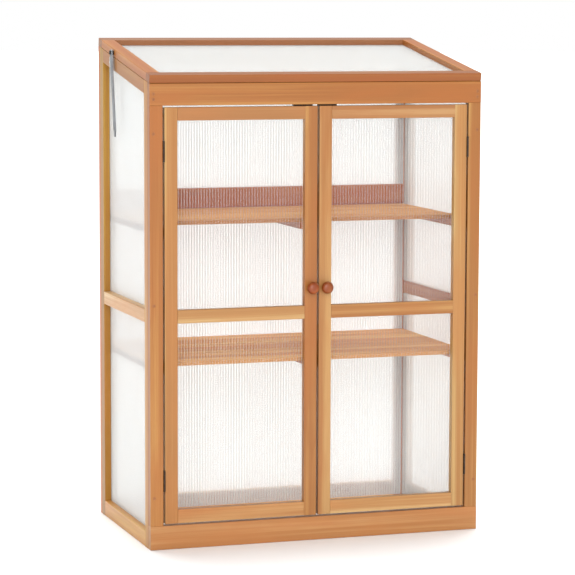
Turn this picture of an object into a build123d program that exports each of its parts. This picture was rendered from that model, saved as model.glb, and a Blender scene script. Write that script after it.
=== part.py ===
from build123d import *
import math
import os

# Two-door greenhouse cabinet: softwood frame, twin-wall sheets, sloping hinged lid,
# two slatted lift-out shelves and a flat steel lid stay.  Millimetres, +Z up.
# The origin is on the floor under the centre of the whole object's box.
# +X is the right-hand side seen from the front, -Y is the front.

os.makedirs("parts", exist_ok=True)

# ------------------------------------------------------------ driving dimensions
width = 760.0            # over the side panels
depth = 438.0            # front face of the front frame to back face of the back frame
front_y = -209.5         # front face of the front frame
front_height = 1006.6    # top of the body at the front face
roof_angle = 9.48        # degrees, rising to the back
ease = 1.4               # rounding along the edges of the timber
end_ease = 0.5           # rounding round the sawn ends

frame_t = 20.0           # thickness of the front frame and of the doors
post_w = 29.0
base_rail_h = 52.0
top_rail_z = 959.5

side_t = 19.0            # thickness of the side panels, sheet and all
side_wood_t = 15.0       # timber of the side panels; the sheets lie against its inner face
side_back_y = 424.0      # rear edge of the side panels, from the front face
side_front_stile_w = 26.0
side_rear_stile_w = 28.0
side_bottom_rail_h = 35.0
side_top_rail_h = 30.4   # measured vertically
mid_rail_z0, mid_rail_z1 = 492.0, 521.0

back_t = 14.0
back_stile_w = 37.0
back_bottom_rail_h = 36.0
back_mid_z0, back_mid_z1 = 701.0, 751.0
back_top_rail_h = 40.0

sheet_t = 4.0            # twin-wall sheet
skin_t = 0.6             # each skin; the thin ribs between the skins are left out
edge_wall_t = 1.0
sheet_gap = 1.0          # room for the sheet to grow in its rebate
rebate_w = 7.0
rebate_d = 4.5

door_edge = 347.0        # hinge-side edge of each door, from the centre plane
door_meet = 2.35         # meeting edge of each door, from the centre plane
door_z0, door_z1 = 56.0, 956.0
door_stile_w = 28.5
door_bottom_rail_h = 30.5
door_top_rail_h = 28.5
knob_d, knob_reach, knob_z = 27.0, 25.0, 561.0

shelf_t = 9.0
shelf_half = 360.0
slat_w, slat_gap = 130.0, 2.0
shelf_back = 419.0       # rear edge of both shelves, from the front face
upper_front, lower_front = 95.5, 26.0
upper_top_z, lower_top_z = 704.8, 405.3
cleat_w, cleat_h = 16.0, 15.5
batten_w = 20.0
rest_gap = 0.3           # shelf underside to cleat

lid_t = 18.0
lid_gap = 0.4            # lid underside above the body's sloping top
lid_rail_w = 29.5
lid_run = 436.0          # length of the lid measured level

hinge_r, hinge_pin_r = 2.0, 0.95
door_hinge_len = 45.0
door_hinge_zs = (150.0, 862.5)
lid_hinge_r, lid_pin_r = 2.4, 1.2
lid_hinge_len = 50.0
lid_hinge_xs = (-230.0, 230.0)
leaf_t = 1.0
knuckle_gap = 0.3
pin_clearance = 0.05

stay_pivot_y, stay_pivot_z = 302.0, 1066.6
stay_len = 189.0
stay_lean = 9.8          # degrees the hanging arm leans to the front
stay_w, stay_t = 14.0, 3.0
stay_hook = 180.0        # pivot to keyhole

screw_head_r, screw_head_h = 3.4, 1.6
screw_shank_r, screw_len = 1.6, 19.0

# ------------------------------------------------------------ derived geometry
half = width / 2
inner = half - side_t
rise = math.tan(math.radians(roof_angle))
cos_a = math.cos(math.radians(roof_angle))
sin_a = math.sin(math.radians(roof_angle))


def fy(y):
    """Distance back from the front face, as a coordinate of the part's frame."""
    return front_y + y


def roof(y):
    """Height of the body's sloping top at a distance back from the front face."""
    return front_height + rise * y


roof_plane = Plane(origin=(0, front_y, front_height), x_dir=(1, 0, 0), z_dir=(0, -sin_a, cos_a))


def block(x0, x1, y0, y1, z0, z1, mode=Mode.ADD):
    """A box between two corners, y measured back from the front face."""
    x0, x1 = min(x0, x1), max(x0, x1)
    with Locations(((x0 + x1) / 2, fy((y0 + y1) / 2), (z0 + z1) / 2)):
        Box(x1 - x0, y1 - y0, z1 - z0, mode=mode)


def ease_member(member, axis, r=ease, re=end_ease):
    """Rounds the four long edges, then the edges round the two ends."""
    fillet(member.edges().filter_by(axis), radius=r)
    ends = member.faces().sort_by(axis)
    fillet(ends[-1].edges() + ends[0].edges(), radius=re)


def twin_wall(cx, cy, cz, length, run, plane_x, z_dir):
    """Adds one twin-wall sheet as its two skins, closed along the long edges and open at the ends."""
    profile = Plane(origin=(cx, cy, cz), x_dir=plane_x, z_dir=z_dir)
    with BuildSketch(profile) as section:
        Rectangle(length, sheet_t)
        Rectangle(length - 2 * edge_wall_t, sheet_t - 2 * skin_t, mode=Mode.SUBTRACT)
    extrude(section.sketch, amount=run)


# ------------------------------------------------------------ front frame
post_screw_zs = (114.0, 532.0, 900.0)
rail_screw_zs = (973.1, 984.8)
screw_x = half - 8.5


def front_screw_holes(points):
    """Recess and pilot hole for each front-frame screw, entered from the front face."""
    for x, z in points:
        with Locations(Plane(origin=(x, front_y, z), x_dir=(1, 0, 0), z_dir=(0, -1, 0))):
            CounterBoreHole(screw_shank_r + 0.1, screw_head_r + 0.15, screw_head_h, depth=screw_len)


with BuildPart() as front_base_rail:
    block(-half, half, 0, frame_t, 0, base_rail_h)
    ease_member(front_base_rail, Axis.X)
front_base_rail.part.label = "front_base_rail"
export_step(front_base_rail.part, "parts/front_base_rail.step")

with BuildPart() as front_top_rail:
    with BuildSketch(Plane.YZ.offset(-half)):
        with BuildLine():
            Polyline(
                (fy(0), top_rail_z), (fy(frame_t), top_rail_z),
                (fy(frame_t), roof(frame_t)), (fy(0), roof(0)), close=True,
            )
        make_face()
    extrude(amount=width)
    ease_member(front_top_rail, Axis.X)
    front_screw_holes([(s * screw_x, z) for s in (-1, 1) for z in rail_screw_zs])
front_top_rail.part.label = "front_top_rail"
export_step(front_top_rail.part, "parts/front_top_rail.step")

for side, s in (("left", -1), ("right", 1)):
    with BuildPart() as front_post:
        block(s * (half - post_w), s * half, 0, frame_t, base_rail_h, top_rail_z)
        ease_member(front_post, Axis.Z)
        front_screw_holes([(s * screw_x, z) for z in post_screw_zs])
    front_post.part.label = f"{side}_front_post"
    export_step(front_post.part, f"parts/{side}_front_post.step")

with BuildPart() as frame_screws:
    for s in (-1, 1):
        for z in post_screw_zs + rail_screw_zs:
            entry = Plane(origin=(s * screw_x, front_y, z), x_dir=(1, 0, 0), z_dir=(0, 1, 0))
            with BuildSketch(entry.offset(0.3)):
                Circle(screw_head_r)
            extrude(amount=screw_head_h - 0.3)
            with BuildSketch(entry.offset(screw_head_h)):
                Circle(screw_shank_r)
            extrude(amount=screw_len - screw_head_h - 1.0)
            with BuildSketch(entry.offset(0.3)):
                with PolarLocations(0, 2, angular_range=180):
                    Rectangle(4.2, 0.9)
            extrude(amount=0.8, mode=Mode.SUBTRACT)
frame_screws.part.label = "frame_screws"
export_step(frame_screws.part, "parts/frame_screws.step")

# ------------------------------------------------------------ side panels
wood_in = half - side_wood_t
sheet_x = wood_in - sheet_t / 2
stile_f0, stile_f1 = frame_t, frame_t + side_front_stile_w
stile_r0, stile_r1 = side_back_y - side_rear_stile_w, side_back_y

for side, s in (("left", -1), ("right", 1)):
    with BuildPart() as side_front_stile:
        block(s * wood_in, s * half, stile_f0, stile_f1, 0, 1040)
        fillet(side_front_stile.edges().filter_by(Axis.Z), radius=ease)
        split(bisect_by=roof_plane, keep=Keep.BOTTOM)
    side_front_stile.part.label = f"{side}_side_front_stile"
    export_step(side_front_stile.part, f"parts/{side}_side_front_stile.step")

    with BuildPart() as side_rear_stile:
        block(s * wood_in, s * half, stile_r0, stile_r1, 0, 1110)
        fillet(side_rear_stile.edges().filter_by(Axis.Z), radius=ease)
        split(bisect_by=roof_plane, keep=Keep.BOTTOM)
    side_rear_stile.part.label = f"{side}_side_rear_stile"
    export_step(side_rear_stile.part, f"parts/{side}_side_rear_stile.step")

    with BuildPart() as side_bottom_rail:
        block(s * wood_in, s * half, stile_f1, stile_r0, 0, side_bottom_rail_h)
        ease_member(side_bottom_rail, Axis.Y)
    side_bottom_rail.part.label = f"{side}_side_bottom_rail"
    export_step(side_bottom_rail.part, f"parts/{side}_side_bottom_rail.step")

    with BuildPart() as side_mid_rail:
        block(s * inner, s * half, stile_f1, stile_r0, mid_rail_z0, mid_rail_z1)
        ease_member(side_mid_rail, Axis.Y)
        block(s * inner, s * wood_in, frame_t + sheet_gap, depth - back_t - sheet_t - sheet_gap, mid_rail_z0 + 1.0, mid_rail_z1 - 1.0)
    side_mid_rail.part.label = f"{side}_side_mid_rail"
    export_step(side_mid_rail.part, f"parts/{side}_side_mid_rail.step")

    with BuildPart() as side_top_rail:
        with BuildSketch(Plane.YZ.offset(min(s * wood_in, s * half))):
            with BuildLine():
                Polyline(
                    (fy(stile_f1), roof(stile_f1) - side_top_rail_h), (fy(stile_r0), roof(stile_r0) - side_top_rail_h),
                    (fy(stile_r0), roof(stile_r0)), (fy(stile_f1), roof(stile_f1)), close=True,
                )
            make_face()
        extrude(amount=side_wood_t)
        slant = (stile_r0 - stile_f1) / cos_a
        fillet([e for e in side_top_rail.edges() if abs(e.length - slant) < 0.01], radius=ease)
    side_top_rail.part.label = f"{side}_side_top_rail"
    export_step(side_top_rail.part, f"parts/{side}_side_top_rail.step")

    sheet_y0 = frame_t + sheet_gap
    sheet_y1 = depth - back_t - sheet_t - sheet_gap
    lower_z0 = 3.0
    upper_z0 = mid_rail_z1 + sheet_gap
    with BuildPart() as side_glazing:
        twin_wall(s * sheet_x, fy((sheet_y0 + sheet_y1) / 2), lower_z0, sheet_y1 - sheet_y0,
                  mid_rail_z0 - sheet_gap - lower_z0, (0, 1, 0), (0, 0, 1))
        twin_wall(s * sheet_x, fy((sheet_y0 + sheet_y1) / 2), upper_z0, sheet_y1 - sheet_y0,
                  600, (0, 1, 0), (0, 0, 1))
        split(bisect_by=roof_plane.offset(-3.0), keep=Keep.BOTTOM)
    side_glazing.part.label = f"{side}_side_glazing"
    export_step(side_glazing.part, f"parts/{side}_side_glazing.step")

# ------------------------------------------------------------ back frame
back_y0, back_y1 = depth - back_t, depth
for side, s in (("left", -1), ("right", 1)):
    with BuildPart() as back_stile:
        block(s * (half - back_stile_w), s * half, back_y0, back_y1, 0, 1110)
        fillet(back_stile.edges().filter_by(Axis.Z), radius=ease)
        split(bisect_by=roof_plane, keep=Keep.BOTTOM)
    back_stile.part.label = f"back_{side}_stile"
    export_step(back_stile.part, f"parts/back_{side}_stile.step")

back_in = half - back_stile_w
with BuildPart() as back_bottom_rail:
    block(-back_in, back_in, back_y0, back_y1, 0, back_bottom_rail_h)
    ease_member(back_bottom_rail, Axis.X)
back_bottom_rail.part.label = "back_bottom_rail"
export_step(back_bottom_rail.part, "parts/back_bottom_rail.step")

with BuildPart() as back_mid_rail:
    block(-back_in, back_in, back_y0 - sheet_t, back_y1, back_mid_z0, back_mid_z1)
    ease_member(back_mid_rail, Axis.X)
    block(-(inner - 1.0), inner - 1.0, back_y0 - sheet_t, back_y0, back_mid_z0 + 1.0, back_mid_z1 - 1.0)
back_mid_rail.part.label = "back_mid_rail"
export_step(back_mid_rail.part, "parts/back_mid_rail.step")

with BuildPart() as back_top_rail:
    with BuildSketch(Plane.YZ.offset(-back_in)):
        with BuildLine():
            Polyline(
                (fy(back_y0), roof(back_y0) - back_top_rail_h), (fy(back_y1), roof(back_y0) - back_top_rail_h),
                (fy(back_y1), roof(back_y1)), (fy(back_y0), roof(back_y0)), close=True,
            )
        make_face()
    extrude(amount=2 * back_in)
    ease_member(back_top_rail, Axis.X)
back_top_rail.part.label = "back_top_rail"
export_step(back_top_rail.part, "parts/back_top_rail.step")

with BuildPart() as back_glazing:
    twin_wall(0, fy(back_y0 - sheet_t / 2), 3.0, 2 * (inner - 1.0),
              back_mid_z0 - sheet_gap - 3.0, (1, 0, 0), (0, 0, 1))
    twin_wall(0, fy(back_y0 - sheet_t / 2), back_mid_z1 + sheet_gap, 2 * (inner - 1.0),
              roof(back_y0 - sheet_t) - 3.0 - back_mid_z1 - sheet_gap, (1, 0, 0), (0, 0, 1))
back_glazing.part.label = "back_glazing"
export_step(back_glazing.part, "parts/back_glazing.step")

# ------------------------------------------------------------ shelves and what carries them
for shelf, top_z in (("upper", upper_top_z), ("lower", lower_top_z)):
    with BuildPart() as shelf_cleats:
        for s in (-1, 1):
            block(s * (inner - cleat_w), s * inner, 22.0, shelf_back, top_z - shelf_t - rest_gap - cleat_h, top_z - shelf_t - rest_gap)
        fillet(shelf_cleats.edges().filter_by(Axis.Y), radius=1.0)
    shelf_cleats.part.label = f"{shelf}_shelf_cleats"
    export_step(shelf_cleats.part, f"parts/{shelf}_shelf_cleats.step")

for shelf, top_z, front in (("upper", upper_top_z, upper_front), ("lower", lower_top_z, lower_front)):
    slats = []
    back = shelf_back
    while back > front + 1:
        slats.append((max(front, back - slat_w), back))
        back -= slat_w + slat_gap
    with BuildPart() as shelf_slats:
        for y0, y1 in slats:
            block(-shelf_half, shelf_half, y0, y1, top_z - shelf_t, top_z)
        fillet(shelf_slats.edges().filter_by(Axis.X), radius=1.2)
    shelf_slats.part.label = f"{shelf}_shelf_slats"
    export_step(shelf_slats.part, f"parts/{shelf}_shelf_slats.step")

    with BuildPart() as shelf_batten:
        block(-batten_w / 2, batten_w / 2, front + 1.0, shelf_back - 2.0, top_z - shelf_t - cleat_h, top_z - shelf_t)
        ease_member(shelf_batten, Axis.Y, 1.0, 0.5)
    shelf_batten.part.label = f"{shelf}_shelf_batten"
    export_step(shelf_batten.part, f"parts/{shelf}_shelf_batten.step")

# ------------------------------------------------------------ doors
door_sheet_y = frame_t - rebate_d + sheet_t / 2
open_x0 = door_meet + door_stile_w           # sight opening of a door, from the centre plane
open_x1 = door_edge - door_stile_w
open_z0 = door_z0 + door_bottom_rail_h
open_z1 = door_z1 - door_top_rail_h
door_gap_x = (door_edge + half - post_w) / 2  # middle of the hinge gap

for side, s in (("left", -1), ("right", 1)):
    with BuildPart() as hinge_stile:
        block(s * open_x1, s * door_edge, 0, frame_t, door_z0, door_z1)
        ease_member(hinge_stile, Axis.Z)
        block(s * (open_x1 - 1), s * (open_x1 + rebate_w), frame_t - rebate_d, frame_t + 1, open_z0 - rebate_w, open_z1 + rebate_w, mode=Mode.SUBTRACT)
    hinge_stile.part.label = f"{side}_door_hinge_stile"
    export_step(hinge_stile.part, f"parts/{side}_door_hinge_stile.step")

    with BuildPart() as meeting_stile:
        block(s * door_meet, s * open_x0, 0, frame_t, door_z0, door_z1)
        ease_member(meeting_stile, Axis.Z)
        block(s * (open_x0 - rebate_w), s * (open_x0 + 1), frame_t - rebate_d, frame_t + 1, open_z0 - rebate_w, open_z1 + rebate_w, mode=Mode.SUBTRACT)
    meeting_stile.part.label = f"{side}_door_meeting_stile"
    export_step(meeting_stile.part, f"parts/{side}_door_meeting_stile.step")

    with BuildPart() as door_bottom_rail:
        block(s * open_x0, s * open_x1, 0, frame_t, door_z0, open_z0)
        ease_member(door_bottom_rail, Axis.X)
        block(s * (open_x0 - 1), s * (open_x1 + 1), frame_t - rebate_d, frame_t + 1, open_z0 - rebate_w, open_z0 + 1, mode=Mode.SUBTRACT)
    door_bottom_rail.part.label = f"{side}_door_bottom_rail"
    export_step(door_bottom_rail.part, f"parts/{side}_door_bottom_rail.step")

    with BuildPart() as door_top_rail:
        block(s * open_x0, s * open_x1, 0, frame_t, open_z1, door_z1)
        ease_member(door_top_rail, Axis.X)
        block(s * (open_x0 - 1), s * (open_x1 + 1), frame_t - rebate_d, frame_t + 1, open_z1 - 1, open_z1 + rebate_w, mode=Mode.SUBTRACT)
    door_top_rail.part.label = f"{side}_door_top_rail"
    export_step(door_top_rail.part, f"parts/{side}_door_top_rail.step")

    with BuildPart() as door_mid_rail:
        block(s * open_x0, s * open_x1, 0, frame_t - rebate_d, mid_rail_z0, mid_rail_z1)
        ease_member(door_mid_rail, Axis.X)
    door_mid_rail.part.label = f"{side}_door_mid_rail"
    export_step(door_mid_rail.part, f"parts/{side}_door_mid_rail.step")

    with BuildPart() as door_glazing:
        twin_wall(s * (open_x0 + open_x1) / 2, fy(door_sheet_y), open_z0 - rebate_w + sheet_gap,
                  open_x1 - open_x0 + 2 * (rebate_w - sheet_gap), open_z1 - open_z0 + 2 * (rebate_w - sheet_gap),
                  (1, 0, 0), (0, 0, 1))
    door_glazing.part.label = f"{side}_door_glazing"
    export_step(door_glazing.part, f"parts/{side}_door_glazing.step")

    # turned wooden knob on the meeting stile
    knob_x = s * (door_meet + door_stile_w / 2)
    with BuildPart() as door_knob:
        with BuildSketch(Plane(origin=(knob_x, front_y, knob_z), x_dir=(1, 0, 0), z_dir=(0, 0, 1))):
            with BuildLine():
                base = Polyline((0, 0), (7.5, 0), (7.5, -1.5), (5.6, -4.5), (5.4, -8.0))
                flare = Spline((5.4, -8.0), (8.4, -10.6), (knob_d / 2, -15.8), tangents=[(0.05, -1), (0.15, -1)])
                crown = Spline((knob_d / 2, -15.8), (11.2, -21.6), (0, -knob_reach), tangents=[(-0.15, -1), (-1, 0)])
                Line((0, -knob_reach), (0, 0))
            make_face()
        revolve(axis=Axis((knob_x, front_y, knob_z), (0, 1, 0)))
    door_knob.part.label = f"{side}_door_knob"
    export_step(door_knob.part, f"parts/{side}_door_knob.step")

    with BuildPart() as door_strike:
        block(s * 12.0, s * 44.0, frame_t, frame_t + 1.0, 938.0, 953.0)
        fillet(door_strike.edges().filter_by(Axis.Y), radius=2.0)
        for x in (17.0, 39.0):
            with Locations(Plane(origin=(s * x, fy(frame_t + 1.0), 945.5), x_dir=(1, 0, 0), z_dir=(0, 1, 0))):
                Hole(1.6)
    door_strike.part.label = f"{side}_door_strike_plate"
    export_step(door_strike.part, f"parts/{side}_door_strike_plate.step")

    # moving leaves of the two butt hinges, with the second and fourth knuckles
    with BuildPart() as door_leaves:
        for zc in door_hinge_zs:
            pitch = door_hinge_len / 5
            block(s * (door_gap_x - 1.0 - leaf_t), s * (door_gap_x - 1.0), 1.4, 17.0, zc - door_hinge_len / 2, zc + door_hinge_len / 2)
            for k in (1, 3):
                z0 = zc - door_hinge_len / 2 + k * pitch + knuckle_gap / 2
                block(s * (door_gap_x - 1.0 - leaf_t), s * (door_gap_x - 1.0), -1.3, 1.6, z0, z0 + pitch - knuckle_gap)
                with BuildSketch(Plane.XY.offset(z0)):
                    with Locations((s * door_gap_x, fy(-1.3))):
                        Circle(hinge_r)
                extrude(amount=pitch - knuckle_gap)
            with BuildSketch(Plane.XY.offset(zc - door_hinge_len / 2 - 1)):
                with Locations((s * door_gap_x, fy(-1.3))):
                    Circle(hinge_pin_r + pin_clearance)
            extrude(amount=door_hinge_len + 2, mode=Mode.SUBTRACT)
    door_leaves.part.label = f"{side}_door_hinge_leaves"
    export_step(door_leaves.part, f"parts/{side}_door_hinge_leaves.step")

# ------------------------------------------------------------ magnetic catches behind the front top rail
with BuildPart() as door_catches:
    for s in (-1, 1):
        with BuildSketch(Plane.YZ.offset(min(s * 7.0, s * 49.0))):
            with BuildLine():
                Polyline(
                    (fy(frame_t), 976), (fy(frame_t), 962), (fy(21.4), 962),
                    (fy(21.4), 943), (fy(34), 943), (fy(34), 976), close=True,
                )
            make_face()
        extrude(amount=42.0)
    fillet(door_catches.edges().filter_by(Axis.X).group_by(Axis.Y)[-1], radius=1.5)
door_catches.part.label = "door_catches"
export_step(door_catches.part, "parts/door_catches.step")

# ------------------------------------------------------------ hinge leaves on the cabinet
lid_axis_y, lid_axis_z = 440.9, 1080.4
with BuildPart() as frame_leaves:
    for s in (-1, 1):
        for zc in door_hinge_zs:
            pitch = door_hinge_len / 5
            block(s * (door_gap_x + 1.0), s * (door_gap_x + 1.0 + leaf_t), 1.4, 17.0, zc - door_hinge_len / 2, zc + door_hinge_len / 2)
            for k in (0, 2, 4):
                z0 = zc - door_hinge_len / 2 + k * pitch + knuckle_gap / 2
                block(s * (door_gap_x + 1.0), s * (door_gap_x + 1.0 + leaf_t), -1.3, 1.6, z0, z0 + pitch - knuckle_gap)
                with BuildSketch(Plane.XY.offset(z0)):
                    with Locations((s * door_gap_x, fy(-1.3))):
                        Circle(hinge_r)
                extrude(amount=pitch - knuckle_gap)
            with BuildSketch(Plane.XY.offset(zc - door_hinge_len / 2 - 1)):
                with Locations((s * door_gap_x, fy(-1.3))):
                    Circle(hinge_pin_r)
            extrude(amount=door_hinge_len + 2, mode=Mode.SUBTRACT)
frame_leaves.part.label = "door_hinge_frame_leaves"
export_step(frame_leaves.part, "parts/door_hinge_frame_leaves.step")

with BuildPart() as lid_frame_leaves:
    for xc in lid_hinge_xs:
        pitch = lid_hinge_len / 5
        block(xc - lid_hinge_len / 2, xc + lid_hinge_len / 2, depth, depth + 1.4, 1059.0, lid_axis_z - lid_hinge_r - 0.5)
        for k in (0, 2, 4):
            x0 = xc - lid_hinge_len / 2 + k * pitch + knuckle_gap / 2
            block(x0, x0 + pitch - knuckle_gap, depth, depth + 1.4, 1070.0, lid_axis_z)
            with BuildSketch(Plane.YZ.offset(x0)):
                with Locations((fy(lid_axis_y), lid_axis_z)):
                    Circle(lid_hinge_r)
            extrude(amount=pitch - knuckle_gap)
        with BuildSketch(Plane.YZ.offset(xc - lid_hinge_len / 2 - 1)):
            with Locations((fy(lid_axis_y), lid_axis_z)):
                Circle(lid_pin_r)
        extrude(amount=lid_hinge_len + 2, mode=Mode.SUBTRACT)
lid_frame_leaves.part.label = "lid_hinge_frame_leaves"
export_step(lid_frame_leaves.part, "parts/lid_hinge_frame_leaves.step")

with BuildPart() as hinge_pins:
    for s in (-1, 1):
        for zc in door_hinge_zs:
            with BuildSketch(Plane.XY.offset(zc - door_hinge_len / 2)):
                with Locations((s * door_gap_x, fy(-1.3))):
                    Circle(hinge_pin_r)
            extrude(amount=door_hinge_len)
    for xc in lid_hinge_xs:
        with BuildSketch(Plane.YZ.offset(xc - lid_hinge_len / 2)):
            with Locations((fy(lid_axis_y), lid_axis_z)):
                Circle(lid_pin_r)
        extrude(amount=lid_hinge_len)
hinge_pins.part.label = "hinge_pins"
export_step(hinge_pins.part, "parts/hinge_pins.step")

# ------------------------------------------------------------ lid, built on the sloping plane
lid_len = lid_run / cos_a
lid_origin_y = 1.5
lid_plane = Plane(
    origin=(0, fy(lid_origin_y), roof(lid_origin_y) + lid_gap), x_dir=(1, 0, 0), z_dir=(0, -sin_a, cos_a),
)


def lid_block(x0, x1, v0, v1, w0, w1, mode=Mode.ADD):
    """A box on the lid's own plane: v runs up the slope, w is square to it."""
    x0, x1 = min(x0, x1), max(x0, x1)
    with Locations(lid_plane):
        with Locations(((x0 + x1) / 2, (v0 + v1) / 2, (w0 + w1) / 2)):
            Box(x1 - x0, v1 - v0, w1 - w0, mode=mode)


slope_dir = (0, cos_a, sin_a)
lid_rebate_d = 5.5
with BuildPart() as lid_front_rail:
    lid_block(-half, half, 0, lid_rail_w, 0, lid_t)
    ease_member(lid_front_rail, Axis.X)
    lid_block(-half + lid_rail_w - rebate_w, half - lid_rail_w + rebate_w, lid_rail_w - rebate_w, lid_rail_w + 1, -1, lid_rebate_d, mode=Mode.SUBTRACT)
lid_front_rail.part.label = "lid_front_rail"
export_step(lid_front_rail.part, "parts/lid_front_rail.step")

with BuildPart() as lid_rear_rail:
    lid_block(-half, half, lid_len - lid_rail_w, lid_len, 0, lid_t)
    ease_member(lid_rear_rail, Axis.X)
    lid_block(-half + lid_rail_w - rebate_w, half - lid_rail_w + rebate_w, lid_len - lid_rail_w - 1, lid_len - lid_rail_w + rebate_w, -1, lid_rebate_d, mode=Mode.SUBTRACT)
lid_rear_rail.part.label = "lid_rear_rail"
export_step(lid_rear_rail.part, "parts/lid_rear_rail.step")

pivot_plane = Plane(origin=(-half, fy(stay_pivot_y), stay_pivot_z), x_dir=(0, 1, 0), z_dir=(-1, 0, 0))
for side, s in (("left", -1), ("right", 1)):
    with BuildPart() as lid_side_rail:
        lid_block(s * (half - lid_rail_w), s * half, lid_rail_w, lid_len - lid_rail_w, 0, lid_t)
        long_edges = [e for e in lid_side_rail.edges() if abs(e.length - (lid_len - 2 * lid_rail_w)) < 0.01]
        fillet(long_edges, radius=ease)
        lid_block(s * (half - lid_rail_w - 1), s * (half - lid_rail_w + rebate_w), lid_rail_w - 1, lid_len - lid_rail_w + 1, -1, lid_rebate_d, mode=Mode.SUBTRACT)
        if s < 0:
            with Locations(pivot_plane):
                Hole(1.7, depth=14.0)
    lid_side_rail.part.label = f"lid_{side}_rail"
    export_step(lid_side_rail.part, f"parts/lid_{side}_rail.step")

with BuildPart() as lid_glazing:
    sheet_v0 = lid_rail_w - rebate_w + sheet_gap
    sheet_v1 = lid_len - lid_rail_w + rebate_w - sheet_gap
    start = lid_plane.from_local_coords((0, sheet_v0, lid_rebate_d - sheet_t / 2))
    twin_wall(start.X, start.Y, start.Z, width - 2 * (lid_rail_w - rebate_w + sheet_gap), sheet_v1 - sheet_v0, (1, 0, 0), slope_dir)
lid_glazing.part.label = "lid_glazing"
export_step(lid_glazing.part, "parts/lid_glazing.step")

with BuildPart() as lid_leaves:
    for xc in lid_hinge_xs:
        pitch = lid_hinge_len / 5
        lid_block(xc - lid_hinge_len / 2, xc + lid_hinge_len / 2, lid_len, lid_len + 1.6, 3.3, 16.5)
        for k in (1, 3):
            x0 = xc - lid_hinge_len / 2 + k * pitch + knuckle_gap / 2
            lid_block(x0, x0 + pitch - knuckle_gap, lid_len, lid_len + 1.6, 0.3, 4.0)
            with BuildSketch(Plane.YZ.offset(x0)):
                with Locations((fy(lid_axis_y), lid_axis_z)):
                    Circle(lid_hinge_r)
            extrude(amount=pitch - knuckle_gap)
        with BuildSketch(Plane.YZ.offset(xc - lid_hinge_len / 2 - 1)):
            with Locations((fy(lid_axis_y), lid_axis_z)):
                Circle(lid_pin_r + pin_clearance)
        extrude(amount=lid_hinge_len + 2, mode=Mode.SUBTRACT)
lid_leaves.part.label = "lid_hinge_lid_leaves"
export_step(lid_leaves.part, "parts/lid_hinge_lid_leaves.step")

# ------------------------------------------------------------ lid stay on the left side
stay_in = 3.8            # inner face of the arm, out from the cabinet's side
with BuildPart() as stay_pivot_screw:
    with BuildSketch(pivot_plane.offset(-13.0)):
        Circle(1.6)
    extrude(amount=13.0)
    with BuildSketch(pivot_plane):
        Circle(5.0)
    extrude(amount=stay_in - 0.3)
    with BuildSketch(pivot_plane):
        Circle(2.2)
    extrude(amount=stay_in + stay_t + 0.4)
    with BuildSketch(pivot_plane.offset(stay_in + stay_t + 0.3)):
        Circle(4.6)
    extrude(amount=2.2)
    fillet(stay_pivot_screw.faces().sort_by(Axis.X)[0].edges(), radius=1.2)
stay_pivot_screw.part.label = "stay_pivot_screw"
export_step(stay_pivot_screw.part, "parts/stay_pivot_screw.step")

lean = math.radians(stay_lean)
arm_plane = Plane(
    origin=(-half - stay_in, fy(stay_pivot_y), stay_pivot_z),
    x_dir=(0, math.cos(lean), -math.sin(lean)), z_dir=(-1, 0, 0),
)
with BuildPart() as stay_arm:
    with BuildSketch(arm_plane):
        with BuildLine():
            Polyline(
                (-stay_w / 2, 0), (-stay_w / 2, stay_len - 12), (-1.2, stay_len),
                (1.2, stay_len), (stay_w / 2, stay_len - 12), (stay_w / 2, 0),
            )
            ThreePointArc((stay_w / 2, 0), (0, -stay_w / 2), (-stay_w / 2, 0))
        make_face()
        Circle(2.25, mode=Mode.SUBTRACT)
        with Locations((0, stay_hook - 9)):
            Circle(3.6, mode=Mode.SUBTRACT)
        with Locations((0, stay_hook - 17)):
            SlotCenterToCenter(14, 3.6, rotation=90, mode=Mode.SUBTRACT)
    extrude(amount=stay_t)
    fillet(stay_arm.faces().sort_by(Axis.X)[0].outer_wire().edges(), radius=0.5)
stay_arm.part.label = "stay_arm"
export_step(stay_arm.part, "parts/stay_arm.step")

keeper_plane = Plane(origin=(-half, fy(325.5), 1045.0), x_dir=(0, 1, 0), z_dir=(-1, 0, 0))
with BuildPart() as stay_keeper:
    with BuildSketch(keeper_plane):
        RectangleRounded(12.0, 24.0, 2.0)
        with Locations((0, 8.5), (0, -8.5)):
            Circle(1.7, mode=Mode.SUBTRACT)
    extrude(amount=1.4)
    with BuildSketch(keeper_plane.offset(1.4)):
        Circle(1.7)
    extrude(amount=0.9)
    with BuildSketch(keeper_plane.offset(2.3)):
        Circle(3.0)
    extrude(amount=0.9)
stay_keeper.part.label = "stay_keeper"
export_step(stay_keeper.part, "parts/stay_keeper.step")
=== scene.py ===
import math

import bpy
from mathutils import Matrix, Vector


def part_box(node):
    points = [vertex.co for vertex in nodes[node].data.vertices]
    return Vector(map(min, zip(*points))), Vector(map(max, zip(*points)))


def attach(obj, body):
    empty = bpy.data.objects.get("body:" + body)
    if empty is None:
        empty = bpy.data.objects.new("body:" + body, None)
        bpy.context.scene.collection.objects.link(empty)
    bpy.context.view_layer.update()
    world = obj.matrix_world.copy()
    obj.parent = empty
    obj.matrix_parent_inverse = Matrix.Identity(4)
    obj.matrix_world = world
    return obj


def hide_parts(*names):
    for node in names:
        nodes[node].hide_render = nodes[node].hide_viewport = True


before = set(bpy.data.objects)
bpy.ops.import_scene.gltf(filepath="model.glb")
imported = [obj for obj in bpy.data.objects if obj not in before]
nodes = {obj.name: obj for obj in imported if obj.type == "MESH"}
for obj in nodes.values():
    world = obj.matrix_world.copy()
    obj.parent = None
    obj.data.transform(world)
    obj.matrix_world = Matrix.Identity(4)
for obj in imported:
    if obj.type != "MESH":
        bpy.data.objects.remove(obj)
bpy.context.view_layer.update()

scene = bpy.context.scene

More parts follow.
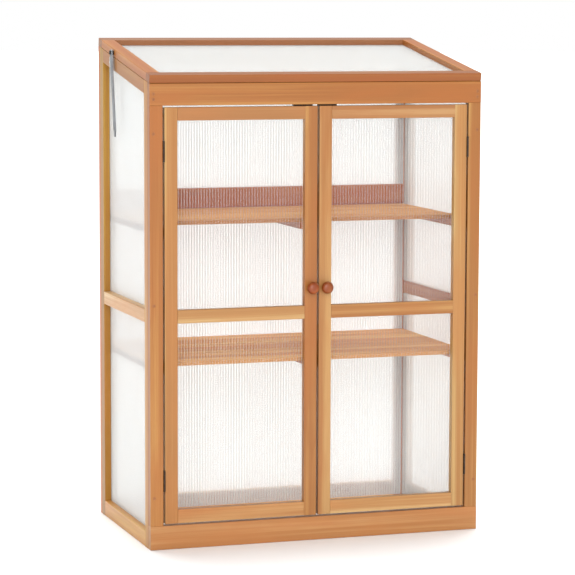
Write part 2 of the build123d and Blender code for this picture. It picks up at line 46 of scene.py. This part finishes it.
ROOF = math.radians(9.48)
UP_ROOF = Vector((0, math.cos(ROOF), math.sin(ROOF)))
OFF_ROOF = Vector((0, -math.sin(ROOF), math.cos(ROOF)))
X, Y, Z = Vector((1, 0, 0)), Vector((0, 1, 0)), Vector((0, 0, 1))


# ---------------------------------------------------------------- node trees


class Tree:
    """A material's node tree, with short calls for the nodes it is made of."""

    def __init__(self, name):
        self.mat = bpy.data.materials.new(name)
        self.mat.use_nodes = True
        self.nt = self.mat.node_tree
        self.nt.nodes.clear()
        self.out = self.nt.nodes.new("ShaderNodeOutputMaterial")
        self.bsdf = self.nt.nodes.new("ShaderNodeBsdfPrincipled")
        self.nt.links.new(self.bsdf.outputs[0], self.out.inputs[0])
        self.point = self.nt.nodes.new("ShaderNodeTexCoord").outputs["Object"]

    def feed(self, socket, value):
        if isinstance(value, bpy.types.NodeSocket):
            self.nt.links.new(value, socket)
        elif value is not None:
            socket.default_value = value

    def math(self, op, a, b=None, c=None, clamp=False):
        n = self.nt.nodes.new("ShaderNodeMath")
        n.operation = op
        n.use_clamp = clamp
        for socket, value in zip(n.inputs, (a, b, c)):
            self.feed(socket, value)
        return n.outputs[0]

    def dot(self, direction, offset=0.0):
        n = self.nt.nodes.new("ShaderNodeVectorMath")
        n.operation = "DOT_PRODUCT"
        self.feed(n.inputs[0], self.point)
        n.inputs[1].default_value = tuple(direction)
        return self.math("ADD", n.outputs["Value"], offset)

    def vector(self, a, b, c):
        n = self.nt.nodes.new("ShaderNodeCombineXYZ")
        for socket, value in zip(n.inputs, (a, b, c)):
            self.feed(socket, value)
        return n.outputs[0]

    def noise(self, vector, scale=1.0, detail=2.0, rough=0.5):
        n = self.nt.nodes.new("ShaderNodeTexNoise")
        self.feed(n.inputs["Vector"], vector)
        n.inputs["Scale"].default_value = scale
        n.inputs["Detail"].default_value = detail
        n.inputs["Roughness"].default_value = rough
        return n.outputs[0]

    def cells(self, vector):
        n = self.nt.nodes.new("ShaderNodeTexVoronoi")
        self.feed(n.inputs["Vector"], vector)
        n.inputs["Scale"].default_value = 1.0
        return n.outputs["Distance"]

    def ramp(self, value, stops):
        n = self.nt.nodes.new("ShaderNodeValToRGB")
        self.feed(n.inputs[0], value)
        e = n.color_ramp.elements
        while len(e) < len(stops):
            e.new(0.5)
        for item, (place, shade) in zip(e, stops):
            item.position = place
            item.color = (shade, shade, shade, 1)
        return n.outputs[0]

    def span(self, value, lo, hi, to_lo=0.0, to_hi=1.0):
        n = self.nt.nodes.new("ShaderNodeMapRange")
        self.feed(n.inputs[0], value)
        for i, v in enumerate((lo, hi, to_lo, to_hi)):
            n.inputs[i + 1].default_value = v
        return n.outputs[0]

    def mix(self, share, a, b, how="MIX"):
        n = self.nt.nodes.new("ShaderNodeMix")
        n.data_type = "RGBA"
        n.blend_type = how
        self.feed(n.inputs[0], share)
        self.feed(n.inputs[6], a if isinstance(a, bpy.types.NodeSocket) else (*a, 1))
        self.feed(n.inputs[7], b if isinstance(b, bpy.types.NodeSocket) else (*b, 1))
        return n.outputs[2]

    def bump(self, height, distance, strength=1.0):
        n = self.nt.nodes.new("ShaderNodeBump")
        n.inputs["Strength"].default_value = strength
        n.inputs["Distance"].default_value = distance
        self.feed(n.inputs["Height"], height)
        self.nt.links.new(n.outputs[0], self.bsdf.inputs["Normal"])


# ---------------------------------------------------------------- wood

GRAIN = {"x": (X, Y, Z), "y": (Y, X, Z), "z": (Z, X, Y), "roof": (UP_ROOF, X, OFF_ROOF)}


def wood(name, axis, colour, seed, ring=0.0042, figure=0.95, knots=(), gloss=0.36, shine=0.42, shaded_front_y=None):
    """Oiled softwood: growth rings round a pith that lies outside the board, so a face shows long
    streaks and arches and an end shows arcs, with fine fibre along the grain and a few knots."""
    t = Tree(name)
    along, across, through = GRAIN[axis]
    s = math.sin(seed * 12.9898) * 43758.5453
    r1, r2, r3 = s % 1, (s * 7.13) % 1, (s * 3.71) % 1
    g = t.dot(along, 2.0 + 9 * r1)
    a = t.dot(across, 0.3 + r2)
    b = t.dot(through, 0.3 + r3)

    def plank_noise(per_g, per_a, detail, rough=0.5):
        return t.noise(t.vector(t.math("MULTIPLY", g, per_g), t.math("MULTIPLY", a, per_a), t.math("MULTIPLY", b, per_a)), 1.0, detail, rough)

    def tone(r, gr, bl):
        return tuple(min(1.0, c * k) for c, k in zip(colour, (r, gr, bl)))

    soft = plank_noise(1.7, 13.0, 3.0)
    cloud = plank_noise(4.5, 22.0, 2.0)
    broad = plank_noise(0.9, 48.0, 1.0)
    streak = plank_noise(1.8, 190.0, 3.0, 0.6)
    fibre = plank_noise(26.0, 900.0, 3.0, 0.65)
    drift = t.math("MULTIPLY", t.math("SUBTRACT", soft, 0.5), 0.034)
    pa = t.math("ADD", t.math("ADD", t.dot(across, 0.030 * (r1 - 0.5)), t.math("MULTIPLY", g, 0.012 * (r2 - 0.5))), drift)
    pb = t.math("ADD", t.math("ADD", t.dot(through, 0.040 + 0.05 * r2), t.math("MULTIPLY", g, 0.018 * (r3 - 0.5))), drift)
    radius = t.math("SQRT", t.math("ADD", t.math("MULTIPLY", pa, pa), t.math("MULTIPLY", pb, pb)))
    spot = None
    for kx, kz, size in knots:
        du = t.math("MULTIPLY", t.dot(X, -kx), 1 / size)
        dv = t.math("MULTIPLY", t.dot(Z, -kz), 1 / size)
        stretch = (0.6, 1.0) if axis == "x" else (1.0, 0.6)
        du, dv = t.math("MULTIPLY", du, stretch[0]), t.math("MULTIPLY", dv, stretch[1])
        far = t.math("SQRT", t.math("ADD", t.math("MULTIPLY", du, du), t.math("MULTIPLY", dv, dv)))
        far = t.math("ADD", far, t.math("MULTIPLY", t.math("SUBTRACT", fibre, 0.5), 0.8))
        radius = t.math("ADD", radius, t.span(far, 0.0, 4.0, 1.6 * ring, 0.0))
        here = t.span(far, 0.55, 1.9, 1.0, 0.0)
        spot = here if spot is None else t.math("MAXIMUM", spot, here)
    phase = t.math("DIVIDE", radius, ring)
    late = t.ramp(t.math("FRACT", phase), [(0.0, 0.10), (0.28, 0.0), (0.68, 0.35), (0.90, 1.0), (1.0, 0.18)])
    shade = t.mix(t.math("MULTIPLY", late, figure), tone(1.10, 1.16, 1.22), tone(0.84, 0.70, 0.54))
    shade = t.mix(t.span(streak, 0.36, 0.62, 0.0, 0.90), shade, tone(0.76, 0.62, 0.46))
    shade = t.mix(t.span(broad, 0.42, 0.64, 0.0, 0.85), shade, tone(0.80, 0.66, 0.54))
    shade = t.mix(t.span(broad, 0.52, 0.30, 0.0, 0.75), shade, tone(1.22, 1.50, 1.80))
    shade = t.mix(t.span(cloud, 0.46, 0.70, 0.0, 0.70), shade, tone(0.94, 0.72, 0.58))
    shade = t.mix(t.span(fibre, 0.32, 0.75, 0.0, 0.28), shade, tone(0.70, 0.56, 0.42))
    if spot is not None:
        shade = t.mix(t.math("MULTIPLY", spot, 0.82), shade, tone(0.40, 0.25, 0.18))
    # painted shade: faces lying at or in front of the given y, the slats' front edge face, are darkened
    if shaded_front_y is not None:
        shade = t.mix(t.span(t.dot(Y), shaded_front_y, shaded_front_y + 0.0016, 0.95, 0.0), shade, tone(0.42, 0.34, 0.30))
    t.feed(t.bsdf.inputs["Base Color"], shade)
    t.feed(t.bsdf.inputs["Roughness"], t.span(fibre, 0.2, 0.8, gloss - 0.05, gloss + 0.09))
    t.bsdf.inputs["Specular IOR Level"].default_value = shine
    t.bump(t.math("ADD", t.math("MULTIPLY", fibre, 0.6), t.math("MULTIPLY", late, 0.5)), 0.00012, 0.35)
    return t.mat


def dress(node, mat):
    o = nodes[node]
    if not o.material_slots:
        o.data.materials.append(mat)
    for s in o.material_slots:
        s.material = mat


FIR = (0.545, 0.222, 0.068)


# FIR times a member's factor. The factor holds the member's own tone together with painted light and shade for where
# it stands.
def fir_with_tone_and_light(r, g, b):
    return (FIR[0] * r, FIR[1] * g, FIR[2] * b)


# node: (grain direction, colour factor on FIR: the member's own tone with painted light and shade mixed in, growth
# ring width in metres, knots as (x, z, size))
WOODS = {
    # painted light: the front base rail is lightened beyond the wood's own tone
    "front_base_rail": ("x", (0.779, 0.944, 1.073), 0.0048, ()),
    "front_top_rail": ("x", (0.609, 0.605, 0.407), 0.0050, ()),
    "left_front_post": ("z", (0.633, 0.628, 0.434), 0.0040, ()),
    "right_front_post": ("z", (0.596, 0.645, 0.494), 0.0040, ()),
    "left_side_front_stile": ("z", (0.820, 0.913, 0.430), 0.0038, ()),
    "left_side_rear_stile": ("z", (0.620, 0.770, 0.260), 0.0040, ()),
    # painted sheen: the left side's bottom and mid rails are paler and bluer than the wood's own tone
    "left_side_bottom_rail": ("y", (1.040, 1.360, 1.070), 0.0042, ()),
    "left_side_mid_rail": ("y", (1.080, 1.630, 2.400), 0.0036, ()),
    "left_side_top_rail": ("roof", (0.692, 0.769, 0.476), 0.0040, ()),
    "right_side_front_stile": ("z", (0.760, 0.800, 0.680), 0.0038, ()),
    "right_side_rear_stile": ("z", (0.760, 0.800, 0.680), 0.0040, ()),
    "right_side_bottom_rail": ("y", (0.760, 0.800, 0.680), 0.0042, ()),
    "right_side_mid_rail": ("y", (0.720, 0.600, 0.480), 0.0036, ()),
    "right_side_top_rail": ("roof", (0.760, 0.800, 0.680), 0.0040, ()),
    "back_left_stile": ("z", (0.900, 0.720, 0.600), 0.0045, ()),
    "back_right_stile": ("z", (0.900, 0.720, 0.600), 0.0045, ()),
    # painted light: the back bottom rail is lightened against the shade it stands in near the floor
    "back_bottom_rail": ("x", (1.500, 1.700, 1.450), 0.0045, ()),
    # painted shade: the back mid rail is darkened below the wood's own tone
    "back_mid_rail": ("x", (0.560, 0.330, 0.210), 0.0045, ()),
    "back_top_rail": ("x", (0.764, 0.724, 0.709), 0.0045, ()),
    "upper_shelf_cleats": ("y", (0.720, 0.600, 0.480), 0.0036, ()),
    "lower_shelf_cleats": ("y", (0.720, 0.600, 0.480), 0.0036, ()),
    "upper_shelf_slats": ("x", (1.160, 1.240, 0.820), 0.0060, ()),
    # painted light: the lower shelf slats are lightened against the shade under the upper shelf
    "lower_shelf_slats": ("x", (1.560, 2.050, 1.950), 0.0060, ()),
    "upper_shelf_batten": ("y", (0.700, 0.580, 0.460), 0.0036, ()),
    "lower_shelf_batten": ("y", (0.700, 0.580, 0.460), 0.0036, ()),
    "lid_front_rail": ("x", (0.511, 0.420, 0.220), 0.0044, ()),
    "lid_rear_rail": ("x", (0.540, 0.602, 0.837), 0.0044, ()),
    "lid_left_rail": ("roof", (0.760, 0.710, 0.480), 0.0044, ()),
    "lid_right_rail": ("roof", (0.760, 0.710, 0.480), 0.0044, ()),
    "left_door_hinge_stile": ("z", (0.707, 0.862, 0.833), 0.0046, ()),
    "left_door_meeting_stile": ("z", (0.610, 0.634, 0.494), 0.0040, ()),
    "left_door_bottom_rail": ("x", (0.748, 0.870, 0.925), 0.0044, ()),
    "left_door_top_rail": ("x", (0.660, 0.810, 0.912), 0.0040, ()),
    "left_door_mid_rail": ("x", (0.739, 1.022, 1.221), 0.0044, ()),
    "right_door_hinge_stile": ("z", (0.696, 0.924, 0.985), 0.0050, ()),
    "right_door_meeting_stile": ("z", (0.659, 0.766, 0.751), 0.0040, ()),
    "right_door_bottom_rail": ("x", (0.816, 1.114, 1.353), 0.0044, ()),
    "right_door_top_rail": ("x", (0.628, 0.728, 0.817), 0.0038, ()),
    "right_door_mid_rail": ("x", (0.639, 0.716, 0.653), 0.0042, ()),
    "left_door_knob": ("y", (0.440, 0.220, 0.070), 0.0022, ()),
    "right_door_knob": ("y", (0.420, 0.260, 0.110), 0.0022, ()),
}
for i, (node, (axis, tint, ring, knots)) in enumerate(WOODS.items()):
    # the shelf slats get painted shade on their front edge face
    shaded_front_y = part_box(node)[0].y if node.endswith("_slats") else None
    if shaded_front_y is None:
        dress(node, wood("wood_" + node, axis, fir_with_tone_and_light(*tint), 3.1 + 1.7 * i, ring, knots=knots))
    else:
        dress(node, wood("wood_" + node, axis, fir_with_tone_and_light(*tint), 3.1 + 1.7 * i, ring, knots=knots, gloss=0.62, shine=0.12, shaded_front_y=shaded_front_y))


# ---------------------------------------------------------------- metals and plastic


def metal(name, colour, rough, grime, metallic=1.0, scale=90.0):
    t = Tree(name)
    cloud = t.noise(t.point, scale, 4.0, 0.6)
    speck = t.noise(t.point, scale * 9, 2.0, 0.5)
    shade = t.mix(t.span(cloud, 0.40, 0.70, 0.0, 0.6), colour, grime)
    t.feed(t.bsdf.inputs["Base Color"], shade)
    t.bsdf.inputs["Metallic"].default_value = metallic
    t.feed(t.bsdf.inputs["Roughness"], t.span(speck, 0.3, 0.7, rough - 0.06, rough + 0.10))
    t.bump(speck, 0.00004, 0.3)
    return t.mat


dark_steel = metal("steel_dark", (0.050, 0.034, 0.026), 0.46, (0.022, 0.013, 0.009), 0.75)
zinc = metal("steel_zinc", (0.20, 0.21, 0.22), 0.38, (0.11, 0.115, 0.125))
bright_zinc = metal("steel_bright", (0.62, 0.63, 0.62), 0.30, (0.46, 0.47, 0.47))
brass = metal("screw_heads", (0.30, 0.115, 0.036), 0.6, (0.20, 0.07, 0.022), 0.15)
catch = metal("catch_body", (0.030, 0.020, 0.014), 0.45, (0.016, 0.011, 0.008), 0.0)
for node in ("door_hinge_frame_leaves", "left_door_hinge_leaves", "right_door_hinge_leaves", "hinge_pins"):
    dress(node, dark_steel)
for node in ("lid_hinge_frame_leaves", "lid_hinge_lid_leaves"):
    dress(node, dark_steel)
for node in ("left_door_strike_plate", "right_door_strike_plate", "stay_keeper"):
    dress(node, bright_zinc)
dress("stay_arm", zinc)
dress("stay_pivot_screw", dark_steel)
dress("frame_screws", brass)
dress("door_catches", catch)


# ---------------------------------------------------------------- twin-wall sheets


def clear_plastic(name, alpha, rough, dull=(0.93, 0.94, 0.93), fresh=(0.97, 0.975, 0.965), shine=0.5):
    t = Tree(name)
    cloud = t.noise(t.point, 22.0, 2.0)
    t.feed(t.bsdf.inputs["Base Color"], t.mix(cloud, dull, fresh))
    t.feed(t.bsdf.inputs["Roughness"], t.span(cloud, 0.3, 0.7, rough, rough + 0.08))
    t.bsdf.inputs["IOR"].default_value = 1.585
    t.bsdf.inputs["Specular IOR Level"].default_value = shine
    t.bsdf.inputs["Alpha"].default_value = alpha
    return t.mat


def milky_plastic(name, cover, rough, share, white):
    """Scattering plastic: cover is the share of the view that each of its surfaces hides. What it hides
    it replaces by light from its own side and, for the given share, from behind, under a soft gloss."""
    t = Tree(name)
    cloud = t.noise(t.point, 22.0, 2.0)
    tint = t.mix(cloud, tuple(white * k for k in (0.968, 0.99, 0.99)), tuple(white * k for k in (0.978, 1.0, 1.0)))
    t.feed(t.bsdf.inputs["Base Color"], tint)
    t.feed(t.bsdf.inputs["Roughness"], t.span(cloud, 0.3, 0.7, rough, rough + 0.08))
    t.bsdf.inputs["Specular IOR Level"].default_value = 0.3

    def shader(kind):
        return t.nt.nodes.new("ShaderNode" + kind)

    through = shader("BsdfTranslucent")
    t.feed(through.inputs["Color"], tint)
    body = shader("MixShader")
    body.inputs[0].default_value = share
    t.nt.links.new(t.bsdf.outputs[0], body.inputs[1])
    t.nt.links.new(through.outputs[0], body.inputs[2])
    clear = shader("BsdfTransparent")
    veil = shader("MixShader")
    veil.inputs[0].default_value = cover
    t.nt.links.new(clear.outputs[0], veil.inputs[1])
    t.nt.links.new(body.outputs[0], veil.inputs[2])
    t.nt.links.new(veil.outputs[0], t.out.inputs[0])
    return t.mat


# kind: (skin, rib foot and fillet, rib wall)
CLEAR = (clear_plastic("clear_skin", 0.012, 0.18, (0.36, 0.37, 0.36), (0.40, 0.41, 0.40)), clear_plastic("clear_foot", 0.10, 0.30), clear_plastic("clear_rib", 0.05, 0.35))


def milky_set(name, skin, foot, rib, share, white):
    return tuple(milky_plastic(name + "_" + part, cover, rough, share, white)
                 for part, cover, rough in (("skin", skin, 0.30), ("foot", foot, 0.35), ("rib", rib, 0.40)))


BACK = milky_set("back", 0.46, 0.14, 0.08, 0.30, 0.865)
SIDES = milky_set("sides", 0.42, 0.14, 0.08, 0.20, 0.915)
ROOF_GRADE = milky_set("roof", 0.45, 0.45, 0.12, 0.60, 0.905)

PITCH, WALL, SKIN_T, FOOT = 0.0064, 0.0005, 0.0005, 0.00055


def twin_wall(name, node, u_dir, v_dir, w_dir, panels, body, finish):
    """A fluted sheet: two skins joined by ribs that run along v_dir, with a small fillet where each rib meets a skin.
    panels holds (u0, u1, v0(u), v1(u), w0, w1)."""
    verts, faces, kinds = [], [], []
    turned = u_dir.cross(v_dir).dot(w_dir) > 0

    def polygon(points, kind):
        """A face whose corners are given anticlockwise round its outward normal, when u, v and w are right-handed."""
        faces.append(tuple(points) if turned else tuple(reversed(points)))
        kinds.append(kind)

    for u0, u1, low, high, w0, w1 in panels:
        count = max(2, round((u1 - u0 - WALL) / PITCH))
        step = (u1 - u0 - WALL) / count
        index = {}

        def at(u, w, end):
            key = (round(u * 1e7), round(w * 1e7), end)
            if key not in index:
                index[key] = len(verts)
                verts.append(u_dir * u + v_dir * (low, high)[end](u) + w_dir * w)
            return index[key]

        def wall(p, q, kind):
            """The strip swept from p to q in the cross-section, with its outside on the right of p to q."""
            polygon((at(*p, 1), at(*q, 1), at(*q, 0), at(*p, 0)), kind)

        def cap(points, kind):
            """Both ends of a piece of the cross-section, its corners given anticlockwise in (u, w)."""
            polygon([at(*p, 1) for p in reversed(points)], kind)
            polygon([at(*p, 0) for p in points], kind)

        s0, s1 = w0 + SKIN_T, w1 - SKIN_T
        f0, f1 = s0 + FOOT, s1 - FOOT
        for i in range(count + 1):
            a = u0 + i * step
            b = a + WALL
            left = a if i == 0 else a - FOOT
            rite = b if i == count else b + FOOT
            cap([(left, w0), (rite, w0), (rite, s0), (b, f0), (a, f0), (left, s0)] if left < a and rite > b else
                [(left, w0), (rite, w0), (rite, s0), (b, f0), (a, f0)] if rite > b else
                [(left, w0), (rite, w0), (b, f0), (a, f0), (left, s0)], 1)
            cap([(a, f0), (b, f0), (b, f1), (a, f1)], 2)
            cap([(left, w1), (left, s1), (a, f1), (b, f1), (rite, s1), (rite, w1)] if left < a and rite > b else
                [(left, w1), (a, f1), (b, f1), (rite, s1), (rite, w1)] if rite > b else
                [(left, w1), (left, s1), (a, f1), (b, f1), (rite, w1)], 1)
            wall((left, w0), (rite, w0), 1)
            wall((rite, w1), (left, w1), 1)
            if i == 0:
                wall((a, f0), (a, w0), 2)
                wall((a, f1), (a, f0), 2)
                wall((a, w1), (a, f1), 2)
            else:
                wall((a, f0), (left, s0), 1)
                wall((a, f1), (a, f0), 2)
                wall((left, s1), (a, f1), 1)
            if i == count:
                wall((b, w0), (b, f0), 2)
                wall((b, f0), (b, f1), 2)
                wall((b, f1), (b, w1), 2)
            else:
                wall((rite, s0), (b, f0), 1)
                wall((b, f0), (b, f1), 2)
                wall((b, f1), (rite, s1), 1)
                far = u0 + (i + 1) * step - FOOT
                cap([(rite, w0), (far, w0), (far, s0), (rite, s0)], 0)
                cap([(rite, s1), (far, s1), (far, w1), (rite, w1)], 0)
                wall((rite, w0), (far, w0), 0)
                wall((far, s0), (rite, s0), 0)
                wall((rite, s1), (far, s1), 0)
                wall((far, w1), (rite, w1), 0)
    me = bpy.data.meshes.new(name)
    me.from_pydata([tuple(v) for v in verts], [], faces)
    for mat in finish:
        me.materials.append(mat)
    me.polygons.foreach_set("material_index", kinds)
    me.update()
    o = bpy.data.objects.new(name, me)
    scene.collection.objects.link(o)
    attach(o, body)
    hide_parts(node)
    return o


def level(value):
    return lambda u: value


def sloped(points):
    (u0, v0), (u1, v1) = points
    return lambda u: v0 + (v1 - v0) * (u - u0) / (u1 - u0)


for side in ("left", "right"):
    lo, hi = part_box(side + "_door_glazing")
    twin_wall(side + "_door_fluted_sheet", side + "_door_glazing", X, Z, Y,
              [(lo.x, hi.x, level(lo.z), level(hi.z), lo.y, hi.y)], side + "_door", CLEAR)

lo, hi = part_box("back_glazing")
rail_lo, rail_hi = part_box("back_mid_rail")
heights = [v.co.z for v in nodes["back_glazing"].data.vertices]
parting = (rail_lo.z + rail_hi.z) / 2
twin_wall("back_fluted_sheets", "back_glazing", X, Z, Y, [
    (lo.x, hi.x, level(lo.z), level(max(h for h in heights if h < parting)), lo.y, hi.y),
    (lo.x, hi.x, level(min(h for h in heights if h > parting)), level(hi.z), lo.y, hi.y),
], "cabinet", BACK)

co = [v.co.copy() for v in nodes["lid_glazing"].data.vertices]
us, vs, ws = [p.x for p in co], [p.dot(UP_ROOF) for p in co], [p.dot(OFF_ROOF) for p in co]
twin_wall("lid_fluted_sheet", "lid_glazing", X, UP_ROOF, OFF_ROOF,
          [(min(us), max(us), level(min(vs)), level(max(vs)), min(ws), max(ws))], "lid", ROOF_GRADE)

for side in ("left", "right"):
    lo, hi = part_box(side + "_side_glazing")
    co = [v.co.copy() for v in nodes[side + "_side_glazing"].data.vertices]
    lower = [p for p in co if p.z < 0.5065]
    upper = [p for p in co if p.z >= 0.5065]
    front = max(p.z for p in upper if p.y < lo.y + 0.001)
    rear = max(p.z for p in upper if p.y > hi.y - 0.001)
    twin_wall(side + "_side_fluted_sheets", side + "_side_glazing", Y, Z, X, [
        (lo.y, hi.y, level(min(p.z for p in lower)), level(max(p.z for p in lower)), lo.x, hi.x),
        (lo.y, hi.y, level(min(p.z for p in upper)), sloped([(lo.y, front), (hi.y, rear)]), lo.x, hi.x),
    ], "cabinet", SIDES)


# ---------------------------------------------------------------- floor, light, camera

t = Tree("floor_paint")
cloud = t.noise(t.point, 1.5, 2.0)
t.feed(t.bsdf.inputs["Base Color"], t.mix(cloud, (0.955, 0.955, 0.955), (0.965, 0.965, 0.965)))
t.bsdf.inputs["Roughness"].default_value = 0.9
t.bsdf.inputs["Specular IOR Level"].default_value = 0.0
me = bpy.data.meshes.new("floor")
R = 60.0
ring = [(R * math.cos(k * math.pi / 24), R * math.sin(k * math.pi / 24), -0.0003) for k in range(48)]
me.from_pydata(ring, [], [tuple(range(48))])
me.materials.append(t.mat)
floor = bpy.data.objects.new("floor", me)
scene.collection.objects.link(floor)

world = bpy.data.worlds.new("studio")
world.use_nodes = True
wt = world.node_tree
wt.nodes.clear()
sky = wt.nodes.new("ShaderNodeBackground")
sky.inputs[1].default_value = 0.62
paper = wt.nodes.new("ShaderNodeBackground")
paper.inputs[0].default_value = (1, 1, 1, 1)
paper.inputs[1].default_value = 1.0
sky.inputs[0].default_value = (1, 1, 1, 1)
seen = wt.nodes.new("ShaderNodeLightPath")
choose = wt.nodes.new("ShaderNodeMixShader")
ends = wt.nodes.new("ShaderNodeOutputWorld")
wt.links.new(seen.outputs["Is Camera Ray"], choose.inputs[0])
wt.links.new(sky.outputs[0], choose.inputs[1])
wt.links.new(paper.outputs[0], choose.inputs[2])
wt.links.new(choose.outputs[0], ends.inputs[0])
scene.world = world


def soft_sun(name, towards, strength, spread):
    """Even light from one side of the studio; spread is how wide its source looks, in degrees."""
    data = bpy.data.lights.new(name, "SUN")
    data.energy = strength
    data.angle = math.radians(spread)
    o = bpy.data.objects.new(name, data)
    o.rotation_mode = "QUATERNION"
    o.rotation_quaternion = (-Vector(towards)).to_track_quat("-Z", "Y")
    scene.collection.objects.link(o)


soft_sun("overhead_bank", (0.08, 0.29, 1.0), 2.8, 32)
soft_sun("front_bank", (-0.27, -1.0, 0.22), 3.1, 46)

yaw, pitch, roll = 0.32307182, 0.11161091, 0.00324573
ahead = Vector((math.sin(yaw) * math.cos(pitch), math.cos(yaw) * math.cos(pitch), -math.sin(pitch)))
right = Vector((math.cos(yaw), -math.sin(yaw), 0))
over = right.cross(ahead)
right_r = right * math.cos(roll) + over * math.sin(roll)
over_r = over * math.cos(roll) - right * math.sin(roll)
data = bpy.data.cameras.new("camera")
data.sensor_width = 36.0
data.lens = 156.945
data.clip_start, data.clip_end = 0.1, 200.0
cam = bpy.data.objects.new("camera", data)
cam.matrix_world = Matrix((
    (right_r.x, over_r.x, -ahead.x, -1.790627),
    (right_r.y, over_r.y, -ahead.y, -5.347464),
    (right_r.z, over_r.z, -ahead.z, 1.169637),
    (0, 0, 0, 1),
))
scene.collection.objects.link(cam)
scene.camera = cam

scene.view_settings.view_transform = "Standard"
scene.view_settings.look = "None"
scene.cycles.transparent_max_bounces = 48
scene.cycles.max_bounces = 14
scene.cycles.diffuse_bounces = 8
scene.cycles.glossy_bounces = 4
